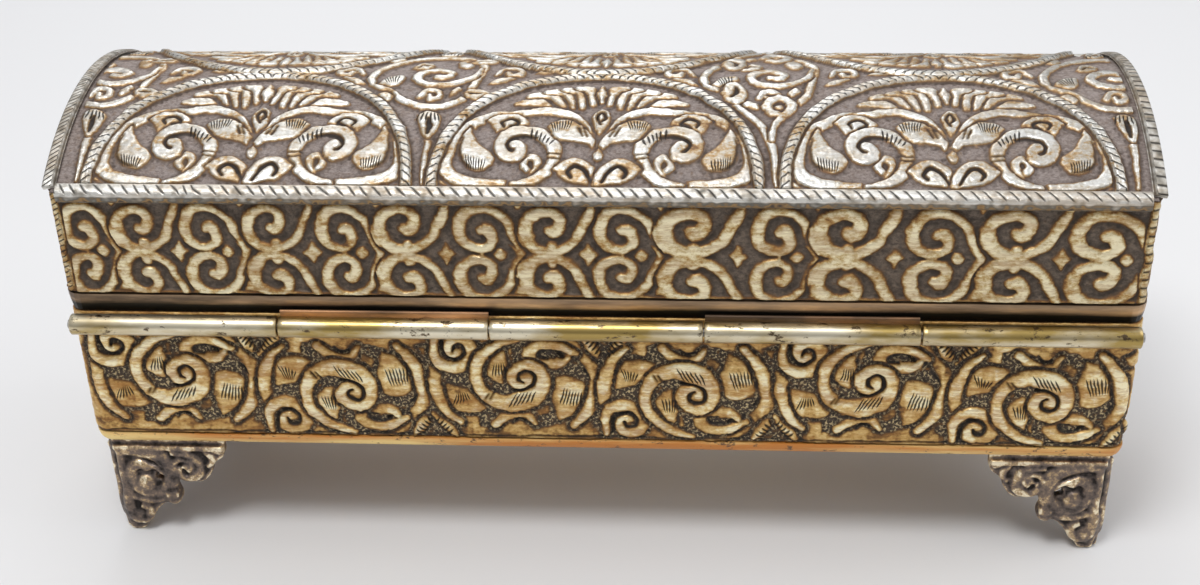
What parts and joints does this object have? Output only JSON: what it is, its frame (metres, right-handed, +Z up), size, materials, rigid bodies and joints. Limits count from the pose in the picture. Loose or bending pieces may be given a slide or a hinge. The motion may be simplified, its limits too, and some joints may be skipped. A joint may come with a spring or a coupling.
{
  "type": "casket",
  "caption": "Small embossed sheet-metal casket with a vaulted lid on a full-length tube hinge and cast scroll feet",
  "frame": {"origin": "on the ground, in the middle of the outer box", "axes": "+X along the casket, +Y from the front to the hinge side, +Z up"},
  "size_m": [0.24, 0.0826, 0.1066],
  "materials": {
    "silvered": "silver plate over brass, worn, with dark tarnish in the hollows",
    "gilt": "silver plate rubbed through to warm brass and copper on the relief",
    "cast_brass": "dark patinated casting with brassy high edges",
    "pin_steel": "drawn wire"
  },
  "bodies": {
    "body": {"body_front_panel": "gilt", "body_back_panel": "gilt", "body_left_panel": "gilt", "body_right_panel": "gilt", "body_roll": "gilt", "base_plate": "gilt", "body_knuckle_1": "gilt", "body_knuckle_3": "gilt", "body_knuckle_5": "gilt", "inner_lip": "silvered", "foot_front_left": "cast_brass", "foot_front_right": "cast_brass", "foot_back_left": "cast_brass", "foot_back_right": "cast_brass", "hinge_pin": "pin_steel"},
    "lid": {"lid_front_band": "gilt", "lid_back_band": "gilt", "lid_knuckle_2": "gilt", "lid_knuckle_4": "gilt", "lid_vault": "silvered", "lid_left_end": "silvered", "lid_right_end": "silvered", "lid_cove": "silvered", "eave_bead_front": "silvered", "eave_bead_back": "silvered", "arch_bead_left": "silvered", "arch_bead_right": "silvered", "thumb_tab": "silvered"}
  },
  "joints": [
    {"name": "lid_hinge", "type": "hinge", "parent": "body", "child": "lid", "pos_m": [0, 0.0389, 0.0619], "axis": [-1, 0, 0], "range_deg": [0, 180]}
  ]
}
